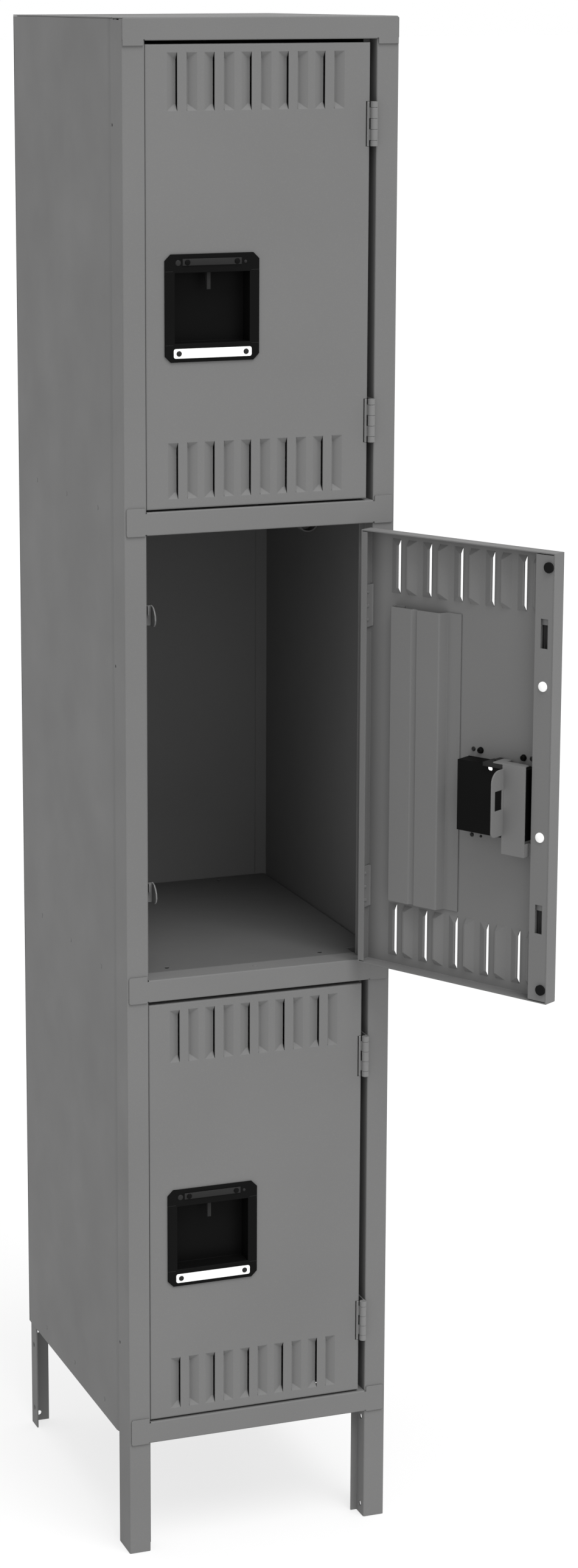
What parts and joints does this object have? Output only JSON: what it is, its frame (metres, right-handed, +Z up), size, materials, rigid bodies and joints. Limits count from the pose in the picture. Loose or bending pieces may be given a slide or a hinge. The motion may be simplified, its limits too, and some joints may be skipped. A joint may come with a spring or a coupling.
{
  "type": "school locker",
  "caption": "Tall narrow steel school locker on legs, with stacked louvred doors, recessed pull handles, lift latches and butt hinges.",
  "frame": {"origin": "on the floor, under the centre of the whole object's bounding box as it rests, with the middle door open", "axes": "+Z up, -Y towards the front where the doors are, +X to the right of someone facing the doors"},
  "size_m": [0.3997, 0.612, 1.6764],
  "materials": {
    "grey_paint": "satin powder coat",
    "interior_paint": "satin powder coat",
    "cup_black": "smooth black",
    "number_white": "white",
    "hinge_steel": "satin powder coat",
    "latch_steel": "satin powder coat",
    "rubber_black": "matt"
  },
  "bodies": {
    "cabinet": {"upright_left": "grey_paint", "upright_right": "grey_paint", "header": "grey_paint", "rail_bottom": "grey_paint", "rail_lower": "grey_paint", "rail_upper": "grey_paint", "side_left": "grey_paint", "side_right": "grey_paint", "back_panel": "grey_paint", "top_panel": "grey_paint", "base_pan": "interior_paint", "shelf_lower": "interior_paint", "shelf_upper": "interior_paint", "rear_leg_left": "grey_paint", "rear_leg_right": "grey_paint", "coat_hook_bottom": "latch_steel", "frame_hook_bottom_bottom": "latch_steel", "hinge_bottom_bottom_frame_leaf": "hinge_steel", "frame_hook_bottom_top": "latch_steel", "hinge_bottom_top_frame_leaf": "hinge_steel", "coat_hook_middle": "latch_steel", "frame_hook_middle_bottom": "latch_steel", "hinge_middle_bottom_frame_leaf": "hinge_steel", "frame_hook_middle_top": "latch_steel", "hinge_middle_top_frame_leaf": "hinge_steel", "coat_hook_top": "latch_steel", "frame_hook_top_bottom": "latch_steel", "hinge_top_bottom_frame_leaf": "hinge_steel", "frame_hook_top_top": "latch_steel", "hinge_top_top_frame_leaf": "hinge_steel"},
    "door_bottom": {"door_bottom_pan": "grey_paint", "door_bottom_stiffener": "grey_paint", "door_bottom_handle_cup": "cup_black", "door_bottom_number_plate": "number_white", "door_bottom_bumper_bottom": "rubber_black", "door_bottom_bumper_top": "rubber_black", "hinge_bottom_bottom_door_leaf": "hinge_steel", "hinge_bottom_top_door_leaf": "hinge_steel"},
    "latch_bottom": {"door_bottom_latch_bar": "latch_steel"},
    "door_middle": {"door_middle_pan": "grey_paint", "door_middle_stiffener": "grey_paint", "door_middle_handle_cup": "cup_black", "door_middle_number_plate": "number_white", "door_middle_bumper_bottom": "rubber_black", "door_middle_bumper_top": "rubber_black", "hinge_middle_bottom_door_leaf": "hinge_steel", "hinge_middle_top_door_leaf": "hinge_steel"},
    "latch_middle": {"door_middle_latch_bar": "latch_steel"},
    "door_top": {"door_top_pan": "grey_paint", "door_top_stiffener": "grey_paint", "door_top_handle_cup": "cup_black", "door_top_number_plate": "number_white", "door_top_bumper_bottom": "rubber_black", "door_top_bumper_top": "rubber_black", "hinge_top_bottom_door_leaf": "hinge_steel", "hinge_top_top_door_leaf": "hinge_steel"},
    "latch_top": {"door_top_latch_bar": "latch_steel"}
  },
  "joints": [
    {"name": "door_bottom_hinge", "type": "hinge", "parent": "cabinet", "child": "door_bottom", "pos_m": [0.0764, -0.0775, 0.3947], "axis": [0, 0, 1], "range_deg": [0, 170]},
    {"name": "latch_bottom_lift", "type": "slide", "parent": "door_bottom", "child": "latch_bottom", "axis": [0, 0, 1], "range_m": [0, 0.01]},
    {"name": "door_middle_hinge", "type": "hinge", "parent": "cabinet", "child": "door_middle", "pos_m": [0.0764, -0.0775, 0.9027], "axis": [0, 0, 1], "range_deg": [-120, 50]},
    {"name": "latch_middle_lift", "type": "slide", "parent": "door_middle", "child": "latch_middle", "axis": [0, 0, 1], "range_m": [0, 0.01]},
    {"name": "door_top_hinge", "type": "hinge", "parent": "cabinet", "child": "door_top", "pos_m": [0.0764, -0.0775, 1.4107], "axis": [0, 0, 1], "range_deg": [0, 170]},
    {"name": "latch_top_lift", "type": "slide", "parent": "door_top", "child": "latch_top", "axis": [0, 0, 1], "range_m": [0, 0.01]}
  ]
}
